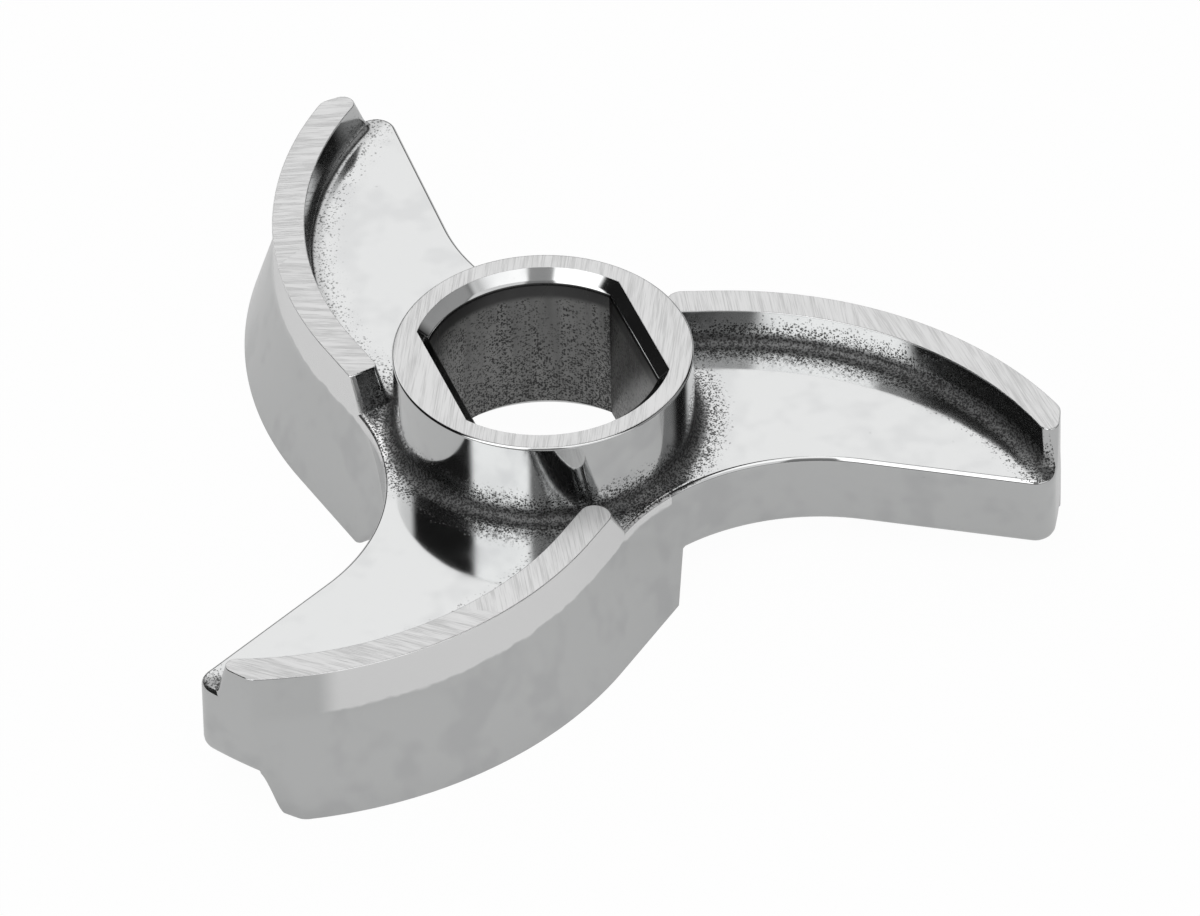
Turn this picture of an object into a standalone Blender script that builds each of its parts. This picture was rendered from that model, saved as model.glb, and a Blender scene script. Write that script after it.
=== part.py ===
# Knife of a meat grinder: three curved arms round a hub, cast and ground in one piece of stainless steel.
# Metres, +Z up. The origin is on the bore's axis at the height of the knife's centre of mass, and +X is
# square to the two drive flats of the bore. Seen from above, the knife turns anticlockwise.
#
# The plan of one arm is drawn with the axis at zero and the arm's straight back edge along +X. Its front
# edge is an arc that runs on as a straight line, past the hub, into the gullet of the next arm. A thick
# web carries a rib on its top and a raked blade on its underside, both along the front edge.

import bmesh
import bpy
from cmath import phase, rect
from math import acos, cos, pi, radians, sin, sqrt
from mathutils.geometry import distance_point_to_plane, normal

# The whole knife
arm_count = 3
first_back_edge_azimuth = radians(88.0)
sweep_diameter = 0.1200
centre_below_hub_face = 0.0146

# The hub and its bore, which is round with two drive flats
hub_diameter = 0.0350
hub_height = 0.0208
hub_edge_break = 0.0004
hub_foot_fillet = 0.0012
bore_diameter = 0.0274
bore_across_flats = 0.0222
bore_chamfer = 0.0014
bore_seat_chamfer = 0.0016

# Heights: the hub's seat stands out under the web, the ribs stand on the web and the blades hang from it
hub_seat_drop = 0.00035
web_thickness = 0.00965
rib_height = 0.0045
blade_height = 0.00425

# The plan of an arm. The tip's width is taken along the sweep circle, from corner to corner.
tip_width = 0.00534
front_arc_radius = 0.0462
front_line_angle = radians(102.18)
front_line_to_axis = 0.0179
gullet_radius = 0.0256
web_back_corner_radius = 0.0024
front_corner_radius = 0.0021
web_top_rounding = 0.0007
web_bottom_rounding = 0.0013

# The leading face: an upright land from the rib's top to a little below the web's, then a rake down to the
# blade's edge
land_foot_drop = 0.0019
land_blend = 0.0009
blade_reach = 0.0038

# The rib. Its back meets the sweep circle at a share of the tip, counted from the back corner, and further
# on at its top than at its foot. Its inner end leans back over a share of the front line's length.
rib_width = 0.0038
rib_draft = 0.0004
rib_foot_fillet = 0.0011
rib_tip_foot_share = 0.33
rib_tip_top_share = 0.60
rib_end_setback_share = 0.44
rib_end_radius = 0.0018
rib_end_foot_radius = 0.0007

# The blade
blade_width = 0.0033
blade_foot_fillet = 0.0019
blade_back_rounding = 0.0012
blade_tip_share = 0.85
blade_end_past_gullet = 0.0057
blade_end_radius = 0.0007

# How far a joined piece is buried in its neighbour, and how far a cutter runs past a face
burial = 0.0005
overrun = 0.0010

# Facets
arc_steps = 13
tip_steps = 2
corner_steps = 3
gullet_steps = 6
rake_steps = 5
rounding_steps = 3
bore_steps = 18
hub_steps = 72

# Heights worked out from the sizes above
hub_face = centre_below_hub_face
hub_seat = hub_face - hub_height
web_bottom = hub_seat + hub_seat_drop
web_top = web_bottom + web_thickness
rib_top = web_top + rib_height
blade_edge = web_bottom - blade_height
rake_start = web_top - land_foot_drop
web_wall_top = web_top - web_top_rounding
web_wall_bottom = web_bottom + web_bottom_rounding

hub_radius = hub_diameter / 2
sweep_radius = sweep_diameter / 2
arm_angle = 2 * pi / arm_count
quarter_turn = pi / 2
blade_rake = blade_reach / (rake_start - blade_edge)
sharp_edge_angle = radians(32.0)
merge_distance = 0.000005


# A point of the plan is a complex number, x + yj.

def spread(start, end, steps):
    shares = [step / steps for step in range(steps + 1)]
    return [start * (1 - share) + end * share for share in shares]


def arc(centre, radius, start, end, steps):
    return [centre + rect(radius, angle) for angle in spread(start, end, steps)]


def along(direction, point):
    return (direction.conjugate() * point).real


def circle_meeting(centre, radius, circle_radius):
    # Where a circle round the axis meets a circle round this centre, on the centre's left
    distance = abs(centre)
    straight = (distance ** 2 + circle_radius ** 2 - radius ** 2) / (2 * distance)
    return centre / distance * complex(straight, sqrt(circle_radius ** 2 - straight ** 2))


# The back corner of the tip
back_reach = sweep_radius - web_back_corner_radius
back_corner = complex(sqrt(back_reach ** 2 - web_back_corner_radius ** 2), web_back_corner_radius)

# The front arc is tangent to the circle that rounds the tip's front corner, and to the front line, which
# passes the axis at its own distance.
outward = rect(1, front_line_angle)
inward_run = rect(1, front_line_angle + quarter_turn)
tip_corner = rect(sweep_radius - front_corner_radius, phase(back_corner) + tip_width / sweep_radius)
corner_reach = front_arc_radius - front_corner_radius
corner_drop = along(outward, tip_corner) + front_arc_radius - front_line_to_axis
line_start = along(inward_run, tip_corner) + sqrt(corner_reach ** 2 - corner_drop ** 2)
front_centre = outward * (front_line_to_axis - front_arc_radius) + inward_run * line_start

# The gullet before an arm is tangent to the arm's back edge and to the front line of the arm before it.
outward_before = rect(1, front_line_angle - arm_angle)
gullet_centre = complex(
    (front_line_to_axis + gullet_radius + gullet_radius * outward_before.imag) / outward_before.real,
    -gullet_radius)
next_gullet_centre = gullet_centre * rect(1, arm_angle)
gullet_start = along(inward_run, next_gullet_centre)
line_length = gullet_start - line_start


def on_front_line(distance, offset):
    return outward * (front_line_to_axis + offset) + inward_run * distance


def reach_at(height):
    # How far the leading face stands forward of the rib's front edge
    depth = rake_start - height
    if depth <= -land_blend:
        return 0
    if depth < land_blend:
        return blade_rake * (depth + land_blend) ** 2 / (4 * land_blend)
    return blade_rake * depth


def gullet_meeting(offset, inset):
    # How far along the front line the leading face runs into the next gullet
    reach = gullet_radius + inset
    return gullet_start + sqrt(reach ** 2 - (reach - offset) ** 2)


def front_corner(offset):
    return circle_meeting(front_centre, front_arc_radius + offset - front_corner_radius,
                          sweep_radius - front_corner_radius)


def tip_stops(offset, rib_share):
    # Azimuths on the sweep circle: the web's back corner, the rib's back, the blade's back, the front corner
    start = phase(back_corner)
    end = phase(front_corner(offset))
    return [start, start + (end - start) * rib_share, start + (end - start) * blade_tip_share, end]


def tip_edge(offset, inset, first_stop, rib_share):
    stops = tip_stops(offset, rib_share)[first_stop:]
    points = [rect(sweep_radius - inset, stops[0])]
    for start, end in zip(stops, stops[1:]):
        points += arc(0, sweep_radius - inset, start, end, tip_steps)[1:]
    return points


def front_edge(offset, inset):
    # Round the front corner and along the front arc, to where the front line starts
    corner = front_corner(offset)
    turn = phase(corner - front_centre)
    points = arc(corner, front_corner_radius - inset, phase(corner), turn, corner_steps)[1:]
    return points + arc(front_centre, front_arc_radius + offset - inset, turn, front_line_angle, arc_steps)[1:]


def placed(points, arm):
    return [point * rect(1, first_back_edge_azimuth + arm * arm_angle) for point in points]


# The leading face cuts the gullet's wall along a curve, which the web follows from height to height. The
# gullet's wall has an upright line of points at each of these heights, and a few more beyond them.
rake_heights = spread(rake_start + land_blend, web_wall_bottom, rake_steps)
cut_distances = [gullet_meeting(reach_at(height), 0) for height in rake_heights]
cut_azimuths = [phase(on_front_line(distance, reach_at(height)) - next_gullet_centre)
                for distance, height in zip(cut_distances, rake_heights)]
gullet_azimuths = cut_azimuths + spread(
    cut_azimuths[-1], arm_angle + quarter_turn - 2 * pi, gullet_steps)[1:]


def gullet_edge(offset, inset, cut_lines):
    # The end of the front line and the gullet's wall, where the face has cut this many upright lines
    points = [on_front_line(distance, offset - inset) for distance in cut_distances[:cut_lines]]
    points.append(on_front_line(gullet_meeting(offset, inset), offset - inset))
    return points + [next_gullet_centre + rect(gullet_radius + inset, azimuth)
                     for azimuth in gullet_azimuths[cut_lines + 1:]]


def web_outline(height, inset, cut_lines):
    # All arms in one closed line, anticlockwise
    offset = reach_at(height)
    one_arm = arc(back_corner, web_back_corner_radius - inset, -quarter_turn, phase(back_corner),
                  corner_steps)[:-1]
    one_arm += tip_edge(offset, inset, 0, rib_tip_foot_share)
    one_arm += front_edge(offset, inset)
    one_arm += gullet_edge(offset, inset, cut_lines)
    return [point for arm in range(arm_count) for point in placed(one_arm, arm)]


def strip_outline(first_stop, rib_share, offset, back_offset, distances, front_radius, back_radius, inset):
    # The plan of a rib or a blade: a strip along the front edge, from the sweep circle to its inner end.
    # The distances are points along the front line, the last of them where the front wall ends.
    stop = tip_stops(offset, rib_share)[first_stop]
    back = front_arc_radius + back_offset
    gap = along(rect(1, stop), front_centre)
    corner_radius = ((sweep_radius ** 2 + abs(front_centre) ** 2 - 2 * sweep_radius * gap - back ** 2)
                     / (2 * (sweep_radius - gap + back)))
    corner = rect(sweep_radius - corner_radius, stop)
    turn = phase(corner - front_centre)
    front_end = distances[-1]
    end = front_end + front_radius
    points = arc(corner, corner_radius - inset, turn - pi, stop, corner_steps)[:-1]
    points += tip_edge(offset, inset, first_stop, rib_share)
    points += front_edge(offset, inset)
    points += [on_front_line(distance, offset - inset) for distance in distances]
    points += arc(on_front_line(front_end, offset - front_radius), front_radius - inset,
                  front_line_angle, front_line_angle + quarter_turn, corner_steps)[1:]
    points += arc(on_front_line(end - back_radius, back_offset + back_radius), back_radius - inset,
                  front_line_angle + quarter_turn, front_line_angle + pi, corner_steps)
    points += arc(front_centre, back + inset, front_line_angle, turn, arc_steps)[:-1]
    return points


def quarter_round(radius):
    # Round a quarter circle: how far each point lies from the first wall and from the second
    return [(radius * (1 - sin(angle)), radius * (1 - cos(angle)))
            for angle in spread(0, quarter_turn, rounding_steps)]


def collection(name):
    made = bpy.data.collections.new(name)
    bpy.context.scene.collection.children.link(made)
    return made


def steel():
    material = bpy.data.materials.new("stainless steel")
    material.use_nodes = True
    shader = material.node_tree.nodes["Principled BSDF"]
    shader.inputs["Base Color"].default_value = (0.60, 0.60, 0.59, 1)
    shader.inputs["Metallic"].default_value = 1
    shader.inputs["Roughness"].default_value = 0.22
    return material


def stack(name, rings, target):
    # A closed solid through rings with equally many points, each at its own height. What isn't flat between
    # two rings is folded along one diagonal, which is where the leading face cuts a gullet.
    bm = bmesh.new()
    loops = [[bm.verts.new((point.real, point.imag, height)) for point in ring] for height, ring in rings]
    for above, below in zip(loops, loops[1:]):
        for index, corner in enumerate(above):
            after = (index + 1) % len(above)
            quad = (corner, above[after], below[after], below[index])
            across = normal(quad[0].co, quad[2].co, quad[3].co)
            if abs(distance_point_to_plane(quad[1].co, quad[0].co, across)) > merge_distance / 10:
                bm.faces.new(quad[:3])
                bm.faces.new((quad[0], quad[2], quad[3]))
            else:
                bm.faces.new(quad)
    bm.faces.new(loops[0])
    bm.faces.new(loops[-1])
    bmesh.ops.recalc_face_normals(bm, faces=bm.faces)
    mesh = bpy.data.meshes.new(name)
    bm.to_mesh(mesh)
    bm.free()
    made = bpy.data.objects.new(name, mesh)
    target.objects.link(made)
    return made


def revolved(name, profile, target):
    # A closed solid of revolution, its profile given at +X from top to bottom
    bm = bmesh.new()
    corners = [bm.verts.new((radius, 0, height)) for radius, height in profile]
    for first, second in zip(corners, corners[1:]):
        bm.edges.new((first, second))
    mesh = bpy.data.meshes.new(name)
    bm.to_mesh(mesh)
    bm.free()
    made = bpy.data.objects.new(name, mesh)
    target.objects.link(made)
    screw = made.modifiers.new("Turn", "SCREW")
    screw.steps = hub_steps
    screw.render_steps = hub_steps
    screw.use_merge_vertices = True
    screw.merge_threshold = merge_distance
    return made


def join(carrier, operand, operation):
    boolean = carrier.modifiers.new(operation.title(), "BOOLEAN")
    boolean.solver = "EXACT"
    boolean.operation = operation
    if isinstance(operand, bpy.types.Collection):
        boolean.operand_type = "COLLECTION"
        boolean.collection = operand
    else:
        boolean.object = operand


def web(target):
    rings = [(web_top - drop, web_outline(web_top, inset, 0)) for inset, drop in quarter_round(web_top_rounding)]
    for line, height in enumerate(rake_heights):
        rings.append((height, web_outline(height, 0, line)))
    for rise, inset in quarter_round(web_bottom_rounding)[1:]:
        rings.append((web_bottom + rise, web_outline(web_bottom + rise, inset, rake_steps)))
    return stack("grinder_knife", rings, target)


def rib(arm, target):
    # The rib's inner end leans over the web, so its front wall reaches the gullet only at the web's face.
    def ring(height, width, inset):
        share = max(0, (height - web_top) / rib_height)
        front_end = gullet_start - line_length * rib_end_setback_share * share
        front_radius = rib_end_foot_radius * (1 - share) + rib_end_radius * share
        tip_share = rib_tip_foot_share * (1 - share) + rib_tip_top_share * share
        outline = strip_outline(1, tip_share, 0, -width, [front_end], front_radius, rib_end_radius, inset)
        return height, placed(outline, arm)

    foot_width = rib_width + rib_draft
    rings = [ring(rib_top, rib_width, 0)]
    for rise, widening in quarter_round(rib_foot_fillet):
        rings.append(ring(web_top + rise, foot_width + widening, 0))
    rings.append(ring(web_wall_top, foot_width + rib_foot_fillet, 0))
    rings.append(ring(web_wall_top - burial, foot_width + rib_foot_fillet, burial))
    return stack("rib", rings, target)


def blade(arm, target):
    # The blade leans forward with the leading face, and its inner end slopes back from the gullet.
    run = blade_end_past_gullet / (cut_distances[-1] - gullet_start)
    edge_distances = [gullet_start + (distance - gullet_start) * run for distance in cut_distances]

    def ring(height, widening, inset):
        share = min(1, (height - blade_edge) / (web_wall_bottom - blade_edge))
        distances = [edge_distance * (1 - share) + cut_distance * share
                     for edge_distance, cut_distance in zip(edge_distances, cut_distances)]
        offset = reach_at(height)
        outline = strip_outline(2, rib_tip_foot_share, offset, offset - blade_width - widening, distances,
                                blade_end_radius, blade_end_radius, inset)
        return height, placed(outline, arm)

    rings = [ring(blade_edge + rise, -narrowing, 0) for narrowing, rise in quarter_round(blade_back_rounding)]
    for drop, widening in quarter_round(blade_foot_fillet):
        rings.append(ring(web_bottom - drop, widening, 0))
    rings.append(ring(web_wall_bottom, blade_foot_fillet, 0))
    rings.append(ring(web_wall_bottom + burial, blade_foot_fillet, burial))
    return stack("blade", rings, target)


def hub(target):
    # The hub's foot fillet is kept behind the front edges that pass close by the hub.
    profile = [(0, hub_face), (hub_radius - hub_edge_break, hub_face), (hub_radius, hub_face - hub_edge_break)]
    profile += [(hub_radius + widening, web_top + rise) for rise, widening in quarter_round(hub_foot_fillet)]
    profile += [(hub_radius + hub_foot_fillet, web_top - burial), (hub_radius, web_top - burial),
                (hub_radius, hub_seat), (0, hub_seat)]
    made = revolved("hub", profile, target)
    inset = (front_line_to_axis - hub_radius) / 2
    limit = stack("hub_limit", [(height, web_outline(web_top, inset, 0)) for height
                                in (hub_face + overrun, hub_seat - overrun)], target)
    join(made, limit, "INTERSECT")
    return made, limit


def bore(target):
    # Round with two flats, and chamfered at both mouths
    def outline(growth):
        radius = bore_diameter / 2 + growth
        corner = acos((bore_across_flats / 2 + growth) / radius)
        half = arc(0, radius, corner, pi - corner, bore_steps)
        return half + [-point for point in half]

    rings = [(hub_face + overrun, bore_chamfer + overrun), (hub_face - bore_chamfer, 0),
             (hub_seat + bore_seat_chamfer, 0), (hub_seat - overrun, bore_seat_chamfer + overrun)]
    return stack("bore", [(height, outline(growth)) for height, growth in rings], target)


def settle(made):
    # The joined shape becomes the object's own mesh, without slivers, smooth but for its real edges.
    depsgraph = bpy.context.evaluated_depsgraph_get()
    mesh = bpy.data.meshes.new_from_object(made.evaluated_get(depsgraph))
    made.modifiers.clear()
    made.data = mesh
    bm = bmesh.new()
    bm.from_mesh(mesh)
    bmesh.ops.remove_doubles(bm, verts=bm.verts, dist=merge_distance)
    bmesh.ops.dissolve_degenerate(bm, edges=bm.edges, dist=merge_distance)
    bm.to_mesh(mesh)
    bm.free()
    mesh.shade_smooth()
    mesh.set_sharp_from_angle(angle=sharp_edge_angle)
    mesh.materials.clear()
    mesh.materials.append(steel())


for old in list(bpy.data.objects):
    bpy.data.objects.remove(old)

part = collection("meat grinder knife")
helpers = collection("helpers")
pieces = collection("pieces")
knife = web(part)
for number in range(arm_count):
    rib(number, pieces)
    blade(number, pieces)
hub_piece, hub_limit = hub(helpers)
pieces.objects.link(hub_piece)
helpers.objects.unlink(hub_piece)
join(knife, pieces, "UNION")
join(knife, bore(helpers), "DIFFERENCE")
settle(knife)
for helper in list(pieces.objects) + list(helpers.objects):
    bpy.data.objects.remove(helper)
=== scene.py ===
from cmath import phase, rect
from math import acos, cos, pi, radians, sin, sqrt

import bmesh
import bpy
from mathutils import Matrix, Vector


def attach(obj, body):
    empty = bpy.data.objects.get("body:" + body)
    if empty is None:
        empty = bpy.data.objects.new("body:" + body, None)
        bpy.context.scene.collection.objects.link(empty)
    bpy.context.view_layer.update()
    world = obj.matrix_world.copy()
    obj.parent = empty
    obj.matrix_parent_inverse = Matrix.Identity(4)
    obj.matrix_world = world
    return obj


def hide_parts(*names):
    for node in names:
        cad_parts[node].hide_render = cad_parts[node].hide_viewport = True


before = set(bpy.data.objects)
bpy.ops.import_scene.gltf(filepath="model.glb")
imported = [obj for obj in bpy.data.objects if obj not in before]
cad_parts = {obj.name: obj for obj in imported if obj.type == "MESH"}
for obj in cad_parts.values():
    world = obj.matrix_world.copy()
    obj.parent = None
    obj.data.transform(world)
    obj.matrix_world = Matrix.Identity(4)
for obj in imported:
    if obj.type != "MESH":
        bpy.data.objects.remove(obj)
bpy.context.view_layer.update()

print("stage: frame loaded")


# Shader maths: a socket wrapped so that + - * / and ** on it add Math nodes

class Wire:
    def __init__(self, graph, socket):
        self.graph = graph
        self.socket = socket

    def math(self, operation, *others):
        return self.graph.add("ShaderNodeMath", {"operation": operation}, dict(enumerate([self, *others])))

    def __add__(self, other): return self.math("ADD", other)
    def __radd__(self, other): return self.math("ADD", other)
    def __sub__(self, other): return self.math("SUBTRACT", other)
    def __rsub__(self, other): return self.graph.value(other).math("SUBTRACT", self)
    def __mul__(self, other): return self.math("MULTIPLY", other)
    def __rmul__(self, other): return self.math("MULTIPLY", other)
    def __truediv__(self, other): return self.math("DIVIDE", other)
    def __rtruediv__(self, other): return self.graph.value(other).math("DIVIDE", self)
    def __pow__(self, other): return self.math("POWER", other)
    def __lt__(self, other): return self.math("LESS_THAN", other)
    def __gt__(self, other): return self.math("GREATER_THAN", other)

    def least(self, other): return self.math("MINIMUM", other)
    def most(self, other): return self.math("MAXIMUM", other)
    def size(self): return self.math("ABSOLUTE")

    def fade(self, start, end):
        # 1 at start, easing to 0 at end
        return self.graph.add("ShaderNodeMapRange", {"interpolation_type": "SMOOTHSTEP"},
                              {"Value": self, "From Min": start, "From Max": end, "To Min": 1, "To Max": 0})


class Graph:
    def __init__(self, tree):
        self.tree = tree
        tree.nodes.clear()

    def add(self, kind, settings=None, inputs=None, output=0):
        node = self.tree.nodes.new(kind)
        for name, setting in (settings or {}).items():
            setattr(node, name, setting)
        for name, given in (inputs or {}).items():
            self.feed(node.inputs[name], given)
        return Wire(self, node.outputs[output]) if node.outputs else None

    def feed(self, socket, given):
        if isinstance(given, Wire):
            self.tree.links.new(given.socket, socket)
        else:
            socket.default_value = given

    def value(self, number):
        node = self.tree.nodes.new("ShaderNodeValue")
        node.outputs[0].default_value = number
        return Wire(self, node.outputs[0])

    def mix(self, factor, first, second):
        # Blends two colours
        return self.add("ShaderNodeMix", {"data_type": "RGBA"}, {0: factor, 6: first, 7: second}, 2)

    def split(self, vector):
        parts = self.add("ShaderNodeSeparateXYZ", {}, {0: vector})
        return [Wire(self, output) for output in parts.socket.node.outputs]

    def vector(self, operation, *given):
        return self.add("ShaderNodeVectorMath", {"operation": operation}, dict(enumerate(given)))

    def noise(self, place, scale, detail=2.0, roughness=0.5, stretch=None):
        if stretch:
            place = self.vector("MULTIPLY", place, stretch)
        return self.add("ShaderNodeTexNoise", {}, {"Vector": place, "Scale": scale, "Detail": detail,
                                                   "Roughness": roughness})


# Camera: the photograph's own viewpoint, a long lens from far off

cameraView = {
    "aim": (0.0, 0.0, 0.0146),        # middle of the hub's face
    "turn": -19.4,                    # degrees round the knife
    "tilt": 40.57,                    # degrees above the floor
    "roll": -1.19,
    "distance": 1.699,
    "aside": (6.603, 12.454),         # mm that the aim lies right of and below the lens axis
    "lens": 440.5,
}


def placeCamera(view):
    turn, tilt, roll = (radians(view[key]) for key in ("turn", "tilt", "roll"))
    back = Vector((sin(turn) * cos(tilt), -cos(turn) * cos(tilt), sin(tilt)))
    level = Vector((cos(turn), sin(turn), 0))
    up = back.cross(level)
    right = level * cos(roll) + up * sin(roll)
    up = up * cos(roll) - level * sin(roll)
    place = Vector(view["aim"]) + back * view["distance"]
    place += right * view["aside"][0] * 0.001 - up * view["aside"][1] * 0.001
    bpy.ops.object.camera_add()
    camera = bpy.context.object
    camera.matrix_world = Matrix.Translation(place) @ Matrix((right, up, back)).transposed().to_4x4()
    camera.data.lens = view["lens"]
    camera.data.sensor_width = 36
    camera.data.clip_end = 20
    bpy.context.scene.camera = camera


placeCamera(cameraView)


# The knife, modelled solid by solid and joined: web, ribs, blades and hub, less the bore. A point of the
# plan is a complex number, and one arm is drawn with its straight back edge along +X.

knife = {
    "arms": 3,
    "firstBackEdge": 88.0,            # degrees round the axis
    "sweepRadius": 59.985,            # mm, as all lengths here
    "webTop": 3.8,
    "webBottom": -5.85,
    "webTopRound": 0.7,
    "webBottomRound": 1.3,
    "tipWidth": 5.34,
    "frontArcRadius": 46.2,
    "frontLineAngle": 102.18,
    "frontLineToAxis": 17.9,
    "gulletRadius": 25.6,
    "backCornerRadius": 2.4,
    "frontCornerRadius": 2.1,
    "rakeStart": 1.9,
    "rakeBlend": 0.9,
    "rake": 3.8 / 12.0,
    "bladeEdge": -10.1,
    "bury": 0.5,
    "arcSteps": 56,
    "tipSteps": 5,
    "cornerSteps": 8,
    "gulletSteps": 22,
    "rakeSteps": 14,
    "roundSteps": 5,
    "mergeWithin": 0.004,
    "sliverUnder": 0.002,
    "smoothUnder": 28,                # degrees between faces
}

arms = knife["arms"]
armTurn = 2 * pi / arms
quarter = pi / 2
sweep = knife["sweepRadius"]
frontArc = knife["frontArcRadius"]
frontCornerRadius = knife["frontCornerRadius"]
backCornerRadius = knife["backCornerRadius"]
gulletRadius = knife["gulletRadius"]
lineToAxis = knife["frontLineToAxis"]
webTop = knife["webTop"]
webBottom = knife["webBottom"]
wallTop = webTop - knife["webTopRound"]
wallBottom = webBottom + knife["webBottomRound"]
bury = knife["bury"]


def spread(start, end, steps):
    return [start + (end - start) * step / steps for step in range(steps + 1)]


def arc(centre, radius, start, end, steps):
    return [centre + rect(radius, angle) for angle in spread(start, end, steps)]


def along(direction, point):
    return (direction.conjugate() * point).real


def circleMeeting(centre, radius, circleRadius):
    distance = abs(centre)
    straight = (distance ** 2 + circleRadius ** 2 - radius ** 2) / (2 * distance)
    return centre / distance * complex(straight, sqrt(circleRadius ** 2 - straight ** 2))


backReach = sweep - backCornerRadius
backCorner = complex(sqrt(backReach ** 2 - backCornerRadius ** 2), backCornerRadius)
lineAngle = radians(knife["frontLineAngle"])
outward = rect(1, lineAngle)
inward = rect(1, lineAngle + quarter)
tipCorner = rect(sweep - frontCornerRadius, phase(backCorner) + knife["tipWidth"] / sweep)
cornerDrop = along(outward, tipCorner) + frontArc - lineToAxis
lineStart = along(inward, tipCorner) + sqrt((frontArc - frontCornerRadius) ** 2 - cornerDrop ** 2)
frontCentre = outward * (lineToAxis - frontArc) + inward * lineStart
outwardBefore = rect(1, lineAngle - armTurn)
gulletCentre = complex((lineToAxis + gulletRadius + gulletRadius * outwardBefore.imag) / outwardBefore.real,
                       -gulletRadius)
nextGullet = gulletCentre * rect(1, armTurn)
gulletStart = along(inward, nextGullet)
lineLength = gulletStart - lineStart


def onFrontLine(distance, offset):
    return outward * (lineToAxis + offset) + inward * distance


def reachAt(height):
    # How far the raked face stands forward of the rib's front edge
    depth = knife["rakeStart"] - height
    blend = knife["rakeBlend"]
    if depth <= -blend:
        return 0
    if depth < blend:
        return knife["rake"] * (depth + blend) ** 2 / (4 * blend)
    return knife["rake"] * depth


def gulletMeeting(offset, inset):
    reach = gulletRadius + inset
    return gulletStart + sqrt(reach ** 2 - (reach - offset) ** 2)


def frontCorner(offset):
    return circleMeeting(frontCentre, frontArc + offset - frontCornerRadius, sweep - frontCornerRadius)


def tipStops(offset, ribShare):
    start = phase(backCorner)
    end = phase(frontCorner(offset))
    return [start + (end - start) * share for share in (0, ribShare, blade["tipShare"], 1)]


def tipEdge(offset, inset, first, ribShare):
    stops = tipStops(offset, ribShare)[first:]
    points = [rect(sweep - inset, stops[0])]
    for start, end in zip(stops, stops[1:]):
        points += arc(0, sweep - inset, start, end, knife["tipSteps"])[1:]
    return points


def frontEdge(offset, inset):
    corner = frontCorner(offset)
    turn = phase(corner - frontCentre)
    points = arc(corner, frontCornerRadius - inset, phase(corner), turn, knife["cornerSteps"])[1:]
    return points + arc(frontCentre, frontArc + offset - inset, turn, lineAngle, knife["arcSteps"])[1:]


def placed(points, arm):
    return [point * rect(1, radians(knife["firstBackEdge"]) + arm * armTurn) for point in points]


rakeHeights = spread(knife["rakeStart"] + knife["rakeBlend"], wallBottom, knife["rakeSteps"])
cutDistances = [gulletMeeting(reachAt(height), 0) for height in rakeHeights]
cutAzimuths = [phase(onFrontLine(distance, reachAt(height)) - nextGullet)
               for distance, height in zip(cutDistances, rakeHeights)]
gulletAzimuths = cutAzimuths + spread(cutAzimuths[-1], armTurn + quarter - 2 * pi, knife["gulletSteps"])[1:]


def gulletEdge(offset, inset, cutLines):
    points = [onFrontLine(distance, offset - inset) for distance in cutDistances[:cutLines]]
    points.append(onFrontLine(gulletMeeting(offset, inset), offset - inset))
    return points + [nextGullet + rect(gulletRadius + inset, azimuth)
                     for azimuth in gulletAzimuths[cutLines + 1:]]


def webOutline(height, inset, cutLines):
    offset = reachAt(height)
    oneArm = arc(backCorner, backCornerRadius - inset, -quarter, phase(backCorner), knife["cornerSteps"])[:-1]
    oneArm += tipEdge(offset, inset, 0, rib["tipFootShare"])
    oneArm += frontEdge(offset, inset)
    oneArm += gulletEdge(offset, inset, cutLines)
    return [point for arm in range(arms) for point in placed(oneArm, arm)]


def stripOutline(first, ribShare, offset, backOffset, distances, frontRadius, backRadius, inset):
    # A rib's or blade's plan: a strip along the front edge, from the sweep circle to its inner end
    stop = tipStops(offset, ribShare)[first]
    back = frontArc + backOffset
    gap = along(rect(1, stop), frontCentre)
    cornerRadius = (sweep ** 2 + abs(frontCentre) ** 2 - 2 * sweep * gap - back ** 2)
    cornerRadius /= 2 * (sweep - gap + back)
    corner = rect(sweep - cornerRadius, stop)
    turn = phase(corner - frontCentre)
    end = distances[-1] + frontRadius
    steps = knife["cornerSteps"]
    points = arc(corner, cornerRadius - inset, turn - pi, stop, steps)[:-1]
    points += tipEdge(offset, inset, first, ribShare)
    points += frontEdge(offset, inset)
    points += [onFrontLine(distance, offset - inset) for distance in distances]
    points += arc(onFrontLine(distances[-1], offset - frontRadius), frontRadius - inset,
                  lineAngle, lineAngle + quarter, steps)[1:]
    points += arc(onFrontLine(end - backRadius, backOffset + backRadius), backRadius - inset,
                  lineAngle + quarter, lineAngle + pi, steps)
    return points + arc(frontCentre, back + inset, lineAngle, turn, knife["arcSteps"])[:-1]


def quarterRound(radius):
    # Round a quarter circle: how far each point lies from the first wall and from the second
    return [(radius * (1 - sin(angle)), radius * (1 - cos(angle)))
            for angle in spread(0, quarter, knife["roundSteps"])]


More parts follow.
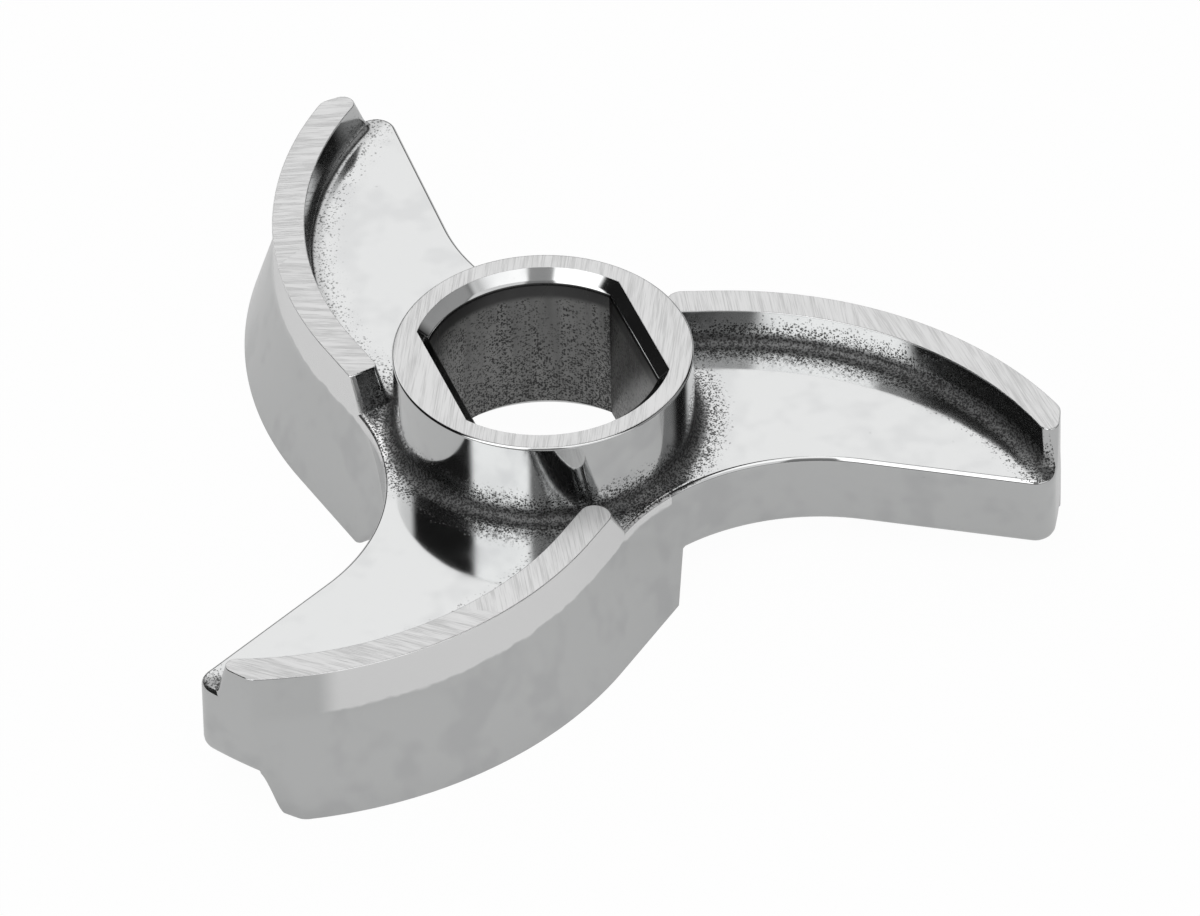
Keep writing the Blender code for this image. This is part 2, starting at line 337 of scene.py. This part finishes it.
def drawOut(name, rings):
    # A flat circle is laid on the first outline and extruded from outline to outline
    bpy.ops.object.select_all(action="DESELECT")
    bpy.ops.mesh.primitive_circle_add(vertices=len(rings[0][1]), radius=1, fill_type="NGON")
    piece = bpy.context.object
    piece.name = name
    bpy.ops.object.mode_set(mode="EDIT")
    mesh = bmesh.from_edit_mesh(piece.data)
    corners = list(mesh.verts)
    for number, (height, outline) in enumerate(rings):
        if number:
            bpy.ops.mesh.extrude_region_move()
            mesh = bmesh.from_edit_mesh(piece.data)
            drawn = {tuple(corner.co): corner for corner in mesh.verts if corner.select}
            corners = [drawn[place] for place in places]
        for corner, point in zip(corners, outline):
            corner.co = point.real / 1000, point.imag / 1000, height / 1000
        places = [tuple(corner.co) for corner in corners]
        bmesh.update_edit_mesh(piece.data)
    bpy.ops.mesh.select_all(action="SELECT")
    bpy.ops.mesh.normals_make_consistent(inside=False)
    bpy.ops.object.mode_set(mode="OBJECT")
    return piece


def combine(carrier, operand, operation):
    bpy.ops.object.select_all(action="DESELECT")
    carrier.select_set(True)
    bpy.context.view_layer.objects.active = carrier
    bpy.ops.object.modifier_add(type="BOOLEAN")
    cut = carrier.modifiers[-1]
    cut.solver = "EXACT"
    cut.operation = operation
    cut.object = operand
    bpy.ops.object.modifier_apply(modifier=cut.name)
    bpy.data.objects.remove(operand)


rib = {
    "top": 8.3,
    "width": 3.8,
    "draft": 0.4,
    "footRound": 1.1,
    "edgeRound": 0.16,
    "tipFootShare": 0.33,
    "tipTopShare": 0.60,
    "endSetback": 0.44,
    "endRadius": 1.8,
    "backRadius": 1.8,
    "endFootRadius": 0.7,
    # one rib's inner end is cut off flat, and its tip is rounder
    "flatEndArm": 0,
    "flatEnd": {
        "tipTopShare": 0.74,
        "endSetback": 0.20,
        "endRadius": 0.25,
        "endFootRadius": 0.6,
        "backRadius": 0.7,
    },
}


def makeWeb():
    rings = [(webTop - drop, webOutline(webTop, inset, 0))
             for inset, drop in quarterRound(knife["webTopRound"])]
    rings += [(height, webOutline(height, 0, line)) for line, height in enumerate(rakeHeights)]
    rings += [(webBottom + rise, webOutline(webBottom + rise, inset, knife["rakeSteps"]))
              for rise, inset in quarterRound(knife["webBottomRound"])[1:]]
    return drawOut("knifeSteel", rings)


def makeRib(arm):
    end = rib["flatEnd"] if arm == rib["flatEndArm"] else rib

    def ring(height, width, inset):
        share = max(0, (height - webTop) / (rib["top"] - webTop))
        frontEnd = gulletStart - lineLength * end["endSetback"] * share
        frontRadius = end["endFootRadius"] * (1 - share) + end["endRadius"] * share
        tipShare = rib["tipFootShare"] * (1 - share) + end["tipTopShare"] * share
        outline = stripOutline(1, tipShare, 0, -width, [frontEnd], frontRadius, end["backRadius"], inset)
        return height, placed(outline, arm)

    footWidth = rib["width"] + rib["draft"]
    rings = [ring(rib["top"] - drop, rib["width"], inset) for inset, drop in quarterRound(rib["edgeRound"])]
    rings += [ring(webTop + rise, footWidth + widening, 0)
              for rise, widening in quarterRound(rib["footRound"])]
    rings.append(ring(wallTop, footWidth + rib["footRound"], 0))
    rings.append(ring(wallTop - bury, footWidth + rib["footRound"], bury))
    return drawOut("rib", rings)


blade = {
    "width": 3.3,
    "tipShare": 0.85,                 # where its back meets the sweep circle, along the tip's edge
    "footRound": 1.9,
    "backRound": 1.2,
    "endPastGullet": 5.7,
    "endRadius": 0.7,
}


def makeBlade(arm):
    run = blade["endPastGullet"] / (cutDistances[-1] - gulletStart)
    edgeDistances = [gulletStart + (distance - gulletStart) * run for distance in cutDistances]

    def ring(height, widening, inset):
        share = min(1, (height - knife["bladeEdge"]) / (wallBottom - knife["bladeEdge"]))
        distances = [edge * (1 - share) + cut * share for edge, cut in zip(edgeDistances, cutDistances)]
        offset = reachAt(height)
        outline = stripOutline(2, rib["tipFootShare"], offset, offset - blade["width"] - widening, distances,
                               blade["endRadius"], blade["endRadius"], inset)
        return height, placed(outline, arm)

    rings = [ring(knife["bladeEdge"] + rise, -narrowing, 0)
             for narrowing, rise in quarterRound(blade["backRound"])]
    rings += [ring(webBottom - drop, widening, 0) for drop, widening in quarterRound(blade["footRound"])]
    rings.append(ring(wallBottom, blade["footRound"], 0))
    rings.append(ring(wallBottom + bury, blade["footRound"], bury))
    return drawOut("blade", rings)


hub = {
    "radius": 17.5,
    "face": 14.6,
    "seat": -6.2,
    "edgeRound": 0.4,
    "footRound": 1.2,
    "step": 0.01,                     # where the buried foot turns back in
    "sides": 192,
}


def makeHub():
    # A disc is drawn out down the hub's profile, then kept behind the front edges that pass close by
    radius = hub["radius"]
    profile = [(radius - inset, hub["face"] - drop) for inset, drop in quarterRound(hub["edgeRound"])]
    profile += [(radius + widening, webTop + rise) for rise, widening in quarterRound(hub["footRound"])]
    profile += [(radius + hub["footRound"], webTop - bury), (radius, webTop - bury - hub["step"]),
                (radius, hub["seat"])]
    made = drawOut("hub", [(height, arc(0, across, 0, 2 * pi, hub["sides"])[:-1])
                           for across, height in profile])
    inset = (lineToAxis - radius) / 2
    limit = drawOut("hubLimit", [(height, webOutline(webTop, inset, 0))
                                 for height in (hub["face"] + 1, hub["seat"] - 1)])
    combine(made, limit, "INTERSECT")
    return made


bore = {
    "radius": 13.7,
    "flat": 11.1,                     # from the axis
    "topChamfer": 1.4,
    "seatChamfer": 1.6,
    "chamferBlend": 0.35,             # half the height over which the chamfer turns into the wall
    "steps": 48,
}


def makeBore():
    def outline(growth):
        radius = bore["radius"] + growth
        corner = acos((bore["flat"] + growth) / radius)
        half = arc(0, radius, corner, pi - corner, bore["steps"])
        return half + [-point for point in half]

    blend = bore["chamferBlend"]
    chamferFoot = hub["face"] - bore["topChamfer"]
    rings = [(hub["face"] + 1, bore["topChamfer"] + 1)]
    rings += [(chamferFoot + rise, (rise + blend) ** 2 / (4 * blend)) for rise in spread(blend, -blend, 6)]
    rings += [(hub["seat"] + bore["seatChamfer"], 0), (hub["seat"] - 1, bore["seatChamfer"] + 1)]
    return drawOut("bore", [(height, outline(growth)) for height, growth in rings])


knifeSteel = makeWeb()
for arm in range(arms):
    combine(knifeSteel, makeRib(arm), "UNION")
    combine(knifeSteel, makeBlade(arm), "UNION")
combine(knifeSteel, makeHub(), "UNION")
combine(knifeSteel, makeBore(), "DIFFERENCE")
print("stage: knife joined,", len(knifeSteel.data.polygons), "faces")


def finishMesh(piece):
    # Doubles merged, then smooth but for real edges, with flat faces kept flat
    bpy.ops.object.select_all(action="DESELECT")
    piece.select_set(True)
    bpy.context.view_layer.objects.active = piece
    bpy.ops.object.mode_set(mode="EDIT")
    bpy.ops.mesh.select_all(action="SELECT")
    bpy.ops.mesh.remove_doubles(threshold=knife["mergeWithin"] / 1000)
    bpy.ops.mesh.dissolve_degenerate(threshold=knife["sliverUnder"] / 1000)
    bpy.ops.mesh.normals_make_consistent(inside=False)
    bpy.ops.object.mode_set(mode="OBJECT")
    bpy.ops.object.shade_smooth_by_angle(angle=radians(knife["smoothUnder"]))
    bpy.ops.object.modifier_add(type="WEIGHTED_NORMAL")
    weighted = piece.modifiers[-1]
    weighted.keep_sharp = True
    weighted.weight = 100
    bpy.ops.object.modifier_apply(modifier=weighted.name)


finishMesh(knifeSteel)


# Steel: polished all over, ground on the flat faces, rough as cast in the creases and in the bore; painted
# shade darkens the middle of each crease and the bore's corners, a painted shadow lies in the bore under the
# chamfer, and a ground band along each front wall is painted brighter as a highlight

steelLook = {
    "polished": (0.605, 0.61, 0.61, 1),
    "ground": (0.60, 0.60, 0.60, 1),
    "scratch": (0.41, 0.41, 0.41, 1),
    "dull": (0.50, 0.505, 0.51, 1),   # faint smears in the polish
    "land": (0.90, 0.90, 0.90, 1),    # the narrow band ground along each front wall, painted brighter as a highlight
    # dark of the cast pits, and the painted shade in the creases
    "cast": (0.05, 0.05, 0.05, 1),
    "boreGrey": (0.34, 0.34, 0.335, 1),
    # painted shadow in the bore just under the chamfer
    "boreShadow": (0.10, 0.10, 0.10, 1),
    "polishedRoughness": 0.07,
    "groundRoughness": 0.34,
    "landRoughness": 0.26,
    "castRoughness": 0.30,
    "pitsPerMetre": (3100, 5200),     # cast pits, 0.32 and 0.19 mm apart
    "pitReach": (0.34, 0.62),         # of a pit's place, all dark and all clean
    "cloudsPerMetre": 330,
    "smearsPerMetre": 150,
    "wavesPerMetre": 170,
    "streaksPerMetre": (700, 700, 60),
    "smearWeight": 0.45,
    "creaseShadeWeight": 0.75,
    "scratchWeight": 0.75,
    "creaseLift": 0.3,                # mm that the painted shade's darkest line lies off a crease's corner
    "skinAndShadeOnArms": (0.34, 0.6, 0.95),  # how much of the casting skin and of the painted crease shade each arm keeps by its rib
    "hubSkin": (0.5, 5.0),            # mm from the crease, full and gone
    "hubCreaseShade": (0.5, 1.8),            # the same for the painted shade along the middle
    "ribSkin": (0.3, 4.6),
    "ribCreaseShade": (0.4, 1.7),
    "landEnd": (53.5, 55.5),          # mm from the axis, where the band fades out
    "landFoot": (2.7, 2.2),           # and its height
    "armMiddle": 33,                  # degrees from an arm's back edge
    "armHalf": 0.55,                  # cosine of half the sector that counts as that arm's
    "hubLines": 64,                   # degrees, the run of the grinding lines on the hub
    "ribLines": (-16, -42, 92),       # and on each arm's rib
    "innerLines": (-24, 78, 78),      # the same, nearer the hub
    "linesTurnAt": 39,                # mm from the axis
    "fineLines": (5, 0.14, 2),        # mm long and apart, and detail
    "broadLines": (14, 0.7, 1),
    "waviness": 0.000012,
    "lineDepth": 0.000012,
}


def makeSteel(look):
    material = bpy.data.materials.new("stainlessSteel")
    material.use_nodes = True
    graph = Graph(material.node_tree)
    place = graph.add("ShaderNodeTexCoord", output="Object")
    millimetres = graph.vector("MULTIPLY", place, (1000, 1000, 1000))
    flat = graph.vector("MULTIPLY", millimetres, (1, 1, 0))
    x, y, z = graph.split(millimetres)
    fromAxis = graph.add("ShaderNodeVectorMath", {"operation": "LENGTH"}, {0: flat}, "Value")

    # The creases, where the casting skin is left and the middle is darkened with painted shade: the hub's
    # foot and the back of each rib
    def crease(across, height):
        return (across ** 2 + height ** 2) ** 0.5

    lift = look["creaseLift"]
    aboveWeb = z > webTop - lift
    hubCrease = crease(fromAxis - hub["radius"] - lift, z - webTop - lift)
    skin = hubCrease.fade(*look["hubSkin"]) * aboveWeb
    creaseShadeAndRoughness = hubCrease.fade(*look["hubCreaseShade"]) * aboveWeb
    sides = []
    land = 0
    for arm in range(arms):
        centre, middle = placed([frontCentre, rect(1, radians(look["armMiddle"]))], arm)
        side = graph.add("ShaderNodeVectorMath", {"operation": "DOT_PRODUCT"},
                         {0: flat, 1: (middle.real, middle.imag, 0)}, "Value") / fromAxis
        side = side > look["armHalf"]
        sides.append(side)
        across = graph.add("ShaderNodeVectorMath", {"operation": "DISTANCE"},
                           {0: flat, 1: (centre.real, centre.imag, 0)}, "Value")
        across = across - (frontArc - rib["width"] - 0.8)
        behind = (across < 1.5) * side * aboveWeb * (fromAxis > hub["radius"] - 0.2)
        ribCrease = crease(across, z - webTop - lift)
        skin = skin.most(ribCrease.fade(*look["ribSkin"]) * behind * look["skinAndShadeOnArms"][arm])
        creaseShadeAndRoughness = creaseShadeAndRoughness.most(ribCrease.fade(*look["ribCreaseShade"]) * behind * look["skinAndShadeOnArms"][arm])
        land = land + (across > rib["width"] + 0.5) * side
    flatHalf = sqrt(bore["radius"] ** 2 - bore["flat"] ** 2)
    inBore = (fromAxis < bore["radius"] + 0.15) * (z < hub["face"] - bore["topChamfer"] + 0.05)
    # 1 below the painted shadow that lies in the bore just under the chamfer
    belowBoreShadow = z.fade(10.6, 11.6)
    cloud = graph.noise(place, look["cloudsPerMetre"], 2, 0.6)
    patchy = (cloud - 0.5) * 1.3
    streak = graph.noise(place, 1, 1, 0.6, stretch=look["streaksPerMetre"])
    smears = graph.noise(place, look["smearsPerMetre"], 2, 0.65).fade(0.68, 0.46)
    ragged = z + (cloud - 0.5) * 1.2
    land = land * (fromAxis > hub["radius"] + 0.3)
    land = land * fromAxis.fade(*look["landEnd"]) * ragged.fade(*look["landFoot"])

    # Round pits on a share of the places that two fine cell patterns give
    # More pits along the bore's corners, which paint a dark line of shade there
    boreCornerShade = (x.size() - bore["flat"]).size().fade(0.1, 0.9) * (y.size() - flatHalf).size().fade(0.1, 0.9)
    boreShare = 0.56 - z * 0.03 + patchy * 0.5 + (streak - 0.5) * 0.9 + boreCornerShade * 0.7
    share = (skin * (0.85 + patchy * 0.6)).most(inBore * belowBoreShadow * boreShare).most((cloud - 0.62) * 0.25)
    dark = 0
    for perMetre in look["pitsPerMetre"]:
        cells = graph.add("ShaderNodeTexVoronoi", {}, {"Vector": place, "Scale": perMetre}, "Distance")
        pick = graph.add("ShaderNodeSeparateColor", {}, {0: Wire(graph, cells.socket.node.outputs["Color"])})
        dark = ((share - pick).fade(0.08, -0.02) * cells.fade(*look["pitReach"])).most(dark)

    # Ground faces
    hubTop = z > hub["face"] - 0.03
    ribTop = (z - rib["top"]).size().fade(0.01, 0.05) * (fromAxis > hub["radius"] + 0.05)
    edge = z < knife["bladeEdge"] + 0.02
    ground = hubTop.most(ribTop).most(edge)

    # Long fine grinding lines, which run another way on the hub and on each rib's two halves
    run = look["hubLines"]
    for side, outer, inner in zip(sides, look["ribLines"], look["innerLines"]):
        ribRun = (fromAxis > look["linesTurnAt"]) * (outer - inner) + inner
        run = run + (ribRun - look["hubLines"]) * side * (fromAxis > hub["radius"] + 0.05)

    def grinding(long, narrow, detail):
        rotation = graph.add("ShaderNodeCombineXYZ", {}, {"Z": run * (pi / 180)})
        turned = graph.add("ShaderNodeMapping", {"vector_type": "TEXTURE"}, {
            "Vector": place, "Rotation": rotation, "Scale": (long / 1000, narrow / 1000, 1)})
        return graph.noise(turned, 1, detail, 0.65)

    lines = grinding(*look["fineLines"]) * 0.65 + grinding(*look["broadLines"]) * 0.35
    scratched = 1 - lines.fade(0.44, 0.64)

    colour = graph.mix(smears * look["smearWeight"], look["polished"], look["dull"])
    # The ground band along each front wall, painted brighter as a highlight
    colour = graph.mix(land, colour, look["land"])
    # painted shade along the middle of each crease
    colour = graph.mix(creaseShadeAndRoughness * look["creaseShadeWeight"], colour, look["cast"])
    # The bore's grey with its streaks, turning to a painted shadow just under the chamfer
    boreStreaksAndShadow = belowBoreShadow * (0.75 + (streak - 0.5) * 1.2)
    colour = graph.mix(inBore, colour, graph.mix(boreStreaksAndShadow, look["boreShadow"], look["boreGrey"]))
    colour = graph.mix(dark * (share * 1.3 + 0.35).least(0.95), colour, look["cast"])
    groundColour = graph.mix(scratched * look["scratchWeight"], look["ground"], look["scratch"])
    colour = graph.mix(ground, colour, groundColour)
    roughness = smears * 0.04 + look["polishedRoughness"] + skin * 0.10 + creaseShadeAndRoughness * 0.4
    roughness = roughness + inBore * (streak * 0.1 + 0.16)
    roughness = roughness.most(land * look["landRoughness"]).most(dark * look["castRoughness"])
    roughness = roughness * (1 - ground) + ground * look["groundRoughness"]
    waves = graph.noise(place, look["wavesPerMetre"], 1, 0.5)
    height = waves * look["waviness"] * (1 - ground) - scratched * ground * look["lineDepth"]
    bump = graph.add("ShaderNodeBump", {}, {"Height": height, "Distance": 1.0, "Strength": 1.0})
    shader = graph.add("ShaderNodeBsdfPrincipled", {}, {
        "Base Color": colour, "Metallic": 1, "Roughness": roughness, "Normal": bump})
    graph.add("ShaderNodeOutputMaterial", {}, {"Surface": shader})
    return material


# Studio: a white background and soft boxes, the rest dark. The table is plain and pale. The camera sees
# it white, and the steel sees it a little darker, with the knife's own shadow.

studio = {
    "turn": cameraView["turn"],       # the camera's side of the knife, degrees
    "floorSize": 6.0,                 # metres
    "floorGap": 0.02,                 # mm under the blades' edges
    "tableInSteel": 0.64,
    "whiteForCamera": 0.97,           # the rest is paper in the studio's light, which keeps the shadow
    "whiteForSteel": 0.6,
    "dark": 0.014,
    # soft boxes: left, right, low and high edge, softness (all degrees), strength
    "boxes": (
        (52, 144, 14, 100, 6, 1.28),
        (212, 258, 12, 72, 3, 2.1),
        (283, 336, 42, 72, 3, 1.6),
        (195, 345, 54, 100, 6, 1.4),
        (258, 284, 40, 64, 2, 0.40),
        (284, 338, 5, 43, 4, 0.95),
        (256, 286, 4, 42, 3, 0.26),
        (338, 388, 8, 44, 6, 0.42),
    ),
}


def makeWorld(look):
    world = bpy.data.worlds.new("studioLight")
    bpy.context.scene.world = world
    world.use_nodes = True
    graph = Graph(world.node_tree)
    ray = graph.add("ShaderNodeLightPath", output="Is Camera Ray")
    direction = graph.add("ShaderNodeTexCoord", output="Generated")
    x, y, z = graph.split(direction)
    turn = radians(look["turn"])
    right = x * cos(turn) + y * sin(turn)
    away = y * cos(turn) - x * sin(turn)
    azimuth = away.math("ARCTAN2", right) * (180 / pi)
    height = z.math("ARCSINE") * (180 / pi)

    def box(left, right, low, high, soft, strength):
        side = ((azimuth - (left + right) / 2 + 540).math("FLOORED_MODULO", 360) - 180).size()
        side = side.fade((right - left) / 2 - soft, (right - left) / 2 + soft)
        return side * (low - height).fade(-soft, soft) * (height - high).fade(-soft, soft) * strength

    light = graph.value(look["dark"])
    for edges in look["boxes"]:
        light = light.most(box(*edges))
    strength = ray + (1 - ray) * light
    background = graph.add("ShaderNodeBackground", {}, {"Color": (1, 1, 1, 1), "Strength": strength})
    graph.add("ShaderNodeOutputWorld", {}, {"Surface": background})


def makeFloor(look):
    bpy.ops.object.select_all(action="DESELECT")
    bpy.ops.mesh.primitive_plane_add(size=look["floorSize"],
                                     location=(0, 0, (knife["bladeEdge"] - look["floorGap"]) / 1000))
    floor = bpy.context.object
    floor.name = "studioFloor"
    bpy.ops.object.transform_apply(location=True)
    material = bpy.data.materials.new("floorPaper")
    material.use_nodes = True
    graph = Graph(material.node_tree)
    camera = graph.add("ShaderNodeLightPath", output="Is Camera Ray")
    glossy = graph.add("ShaderNodeLightPath", output="Is Glossy Ray")
    paper = graph.add("ShaderNodeBsdfDiffuse", {}, {"Color": (0.82, 0.82, 0.82, 1)})
    brightness = camera + (1 - camera) * look["tableInSteel"]
    seen = graph.add("ShaderNodeEmission", {}, {"Color": (1, 1, 1, 1), "Strength": brightness})
    share = camera * look["whiteForCamera"] + glossy * look["whiteForSteel"]
    surface = graph.add("ShaderNodeMixShader", {}, {0: share, 1: paper, 2: seen})
    graph.add("ShaderNodeOutputMaterial", {}, {"Surface": surface})
    floor.data.materials.append(material)


makeWorld(studio)
makeFloor(studio)
knifeSteel.data.materials.clear()
knifeSteel.data.materials.append(makeSteel(steelLook))
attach(knifeSteel, "root")
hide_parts("grinder_knife")
print("stage: materials and light done")

bpy.context.scene.view_settings.view_transform = "Standard"
